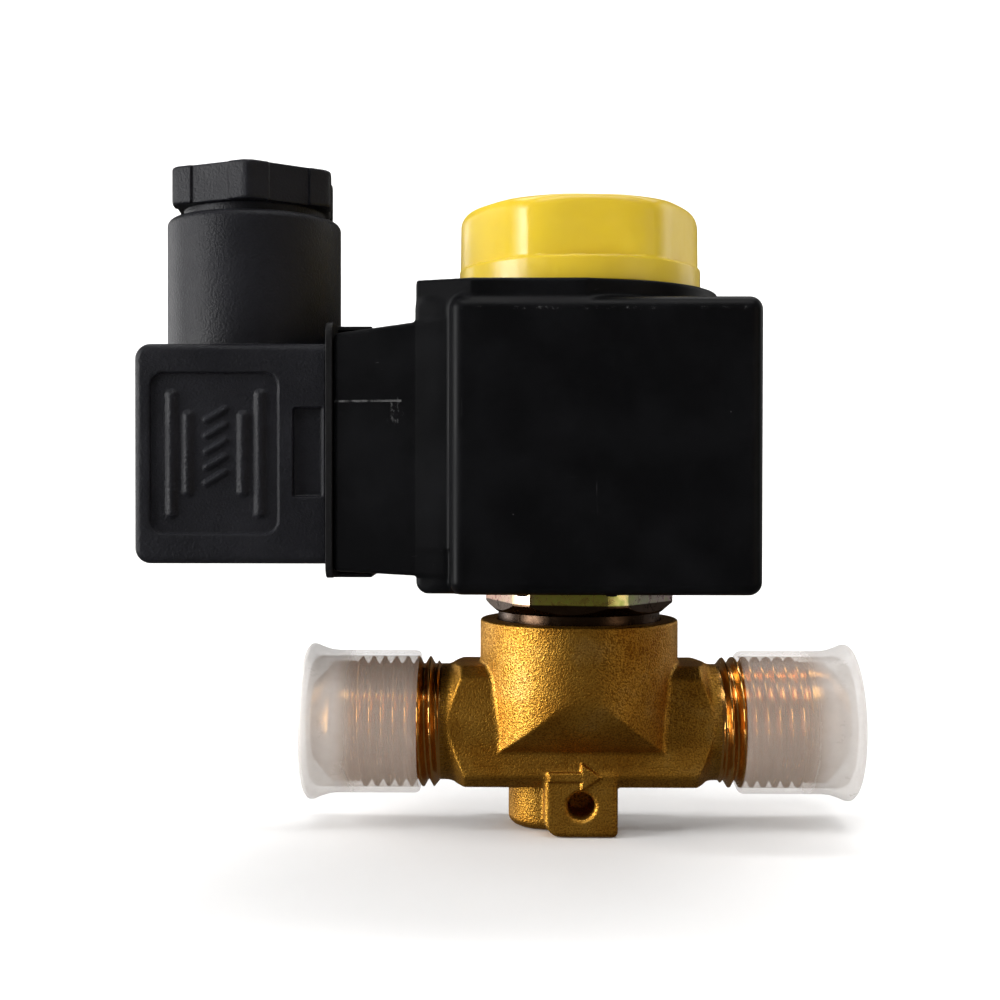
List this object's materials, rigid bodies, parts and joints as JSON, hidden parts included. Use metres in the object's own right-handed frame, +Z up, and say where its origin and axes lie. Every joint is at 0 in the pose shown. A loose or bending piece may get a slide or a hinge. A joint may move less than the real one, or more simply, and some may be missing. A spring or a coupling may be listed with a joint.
{
  "type": "solenoid valve",
  "caption": "Direct-acting solenoid valve for a refrigerant line: forged brass body with capped flare ports, black coil with a yellow nut, square plug connector and cable gland",
  "frame": {"origin": "where the flow axis through both ports crosses the axis of the armature tube", "axes": "+X along the flow, from the connector side to the far port; +Z up the armature tube to the coil nut; the mounting pad faces -Y"},
  "size_m": [0.0846, 0.036, 0.0793],
  "materials": {
    "forged_brass": "hot-forged and blasted, fine grain, machined bright on the threads",
    "machined_brass": "turned, bright",
    "passivated_steel": "zinc plated with a yellow and green passivation",
    "stainless": "drawn and turned stainless steel",
    "magnetic_steel": "turned or pressed soft magnetic steel",
    "copper": "bare or lacquered copper",
    "tinned_brass": "tinned contact metal",
    "plated_steel": "bright zinc plated",
    "coil_plastic": "moulded black, satin, with light handling scratches",
    "connector_plastic": "moulded black, finely textured",
    "bobbin_plastic": "moulded natural glass filled nylon",
    "yellow_plastic": "moulded yellow, glossy",
    "black_rubber": "moulded black rubber",
    "white_seal": "moulded white PTFE",
    "clear_polyethylene": "thin milky translucent polyethylene"
  },
  "bodies": {
    "valve": {"valve_body": "forged_brass", "tube_nut": "passivated_steel", "armature_tube": "stainless", "tube_seal": "black_rubber", "fixed_core": "stainless", "shading_ring": "copper", "plunger_spring": "stainless"},
    "plunger": {"plunger": "magnetic_steel", "plunger_seal": "white_seal"},
    "coil": {"coil_housing": "coil_plastic", "coil_bobbin": "bobbin_plastic", "coil_winding": "copper", "coil_yoke": "magnetic_steel", "line_blades": "tinned_brass", "earth_blade": "tinned_brass", "screw_insert": "machined_brass", "coil_base_gasket": "black_rubber"},
    "nut_gasket": {"nut_gasket": "black_rubber"},
    "coil_nut": {"coil_nut": "yellow_plastic"},
    "connector": {"connector_housing": "connector_plastic", "terminal_block": "connector_plastic", "line_sockets": "tinned_brass", "earth_socket": "tinned_brass", "terminal_screws": "plated_steel", "profile_gasket": "black_rubber", "gland_grommet": "black_rubber"},
    "gland_washer": {"gland_washer": "plated_steel"},
    "gland_nut": {"gland_nut": "connector_plastic"},
    "screw_seal": {"screw_seal": "black_rubber"},
    "centre_screw": {"centre_screw": "plated_steel"},
    "inlet_cap": {"inlet_cap": "clear_polyethylene"},
    "outlet_cap": {"outlet_cap": "clear_polyethylene"}
  },
  "joints": [
    {"name": "plunger_lift", "type": "slide", "parent": "valve", "child": "plunger", "axis": [0, 0, 1], "range_m": [0, 0.0022], "stiffness_N_per_m": 250, "springref_m": -0.006, "deforming": ["plunger_spring"]},
    {"name": "coil_swivel", "type": "hinge", "parent": "valve", "child": "coil", "pos_m": [0, 0, 0.0345], "axis": [0, 0, 1], "continuous": true},
    {"name": "nut_lift", "type": "slide", "parent": "valve", "child": "nut_gasket", "axis": [0, 0, 1], "range_m": [0, 0.00625]},
    {"name": "nut_turn", "type": "hinge", "parent": "nut_gasket", "child": "coil_nut", "pos_m": [0, 0, 0.0575], "axis": [0, 0, 1], "range_deg": [0, 1804]},
    {"name": "connector_pull", "type": "slide", "parent": "coil", "child": "connector", "axis": [-1, 0, 0], "range_m": [0, 0.018]},
    {"name": "gland_lift", "type": "slide", "parent": "connector", "child": "gland_washer", "axis": [0, 0, 1], "range_m": [0, 0.006]},
    {"name": "gland_turn", "type": "hinge", "parent": "gland_washer", "child": "gland_nut", "pos_m": [-0.0399, 0, 0.06], "axis": [0, 0, 1], "range_deg": [0, 1444]},
    {"name": "screw_out", "type": "slide", "parent": "connector", "child": "screw_seal", "axis": [-1, 0, 0], "range_m": [0, 0.0045]},
    {"name": "screw_turn", "type": "hinge", "parent": "screw_seal", "child": "centre_screw", "pos_m": [-0.04, 0, 0.0332], "axis": [-1, 0, 0], "range_deg": [0, 3246]},
    {"name": "inlet_cap_pull", "type": "slide", "parent": "valve", "child": "inlet_cap", "axis": [-1, 0, 0], "range_m": [0, 0.025]},
    {"name": "outlet_cap_pull", "type": "slide", "parent": "valve", "child": "outlet_cap", "axis": [1, 0, 0], "range_m": [0, 0.025]}
  ],
  "couplings": [
    {"joint": "nut_turn", "follows": "nut_lift", "rad_per_m": 5026.5},
    {"joint": "gland_turn", "follows": "gland_lift", "rad_per_m": 4188.7},
    {"joint": "screw_turn", "follows": "screw_out", "rad_per_m": 12566}
  ]
}
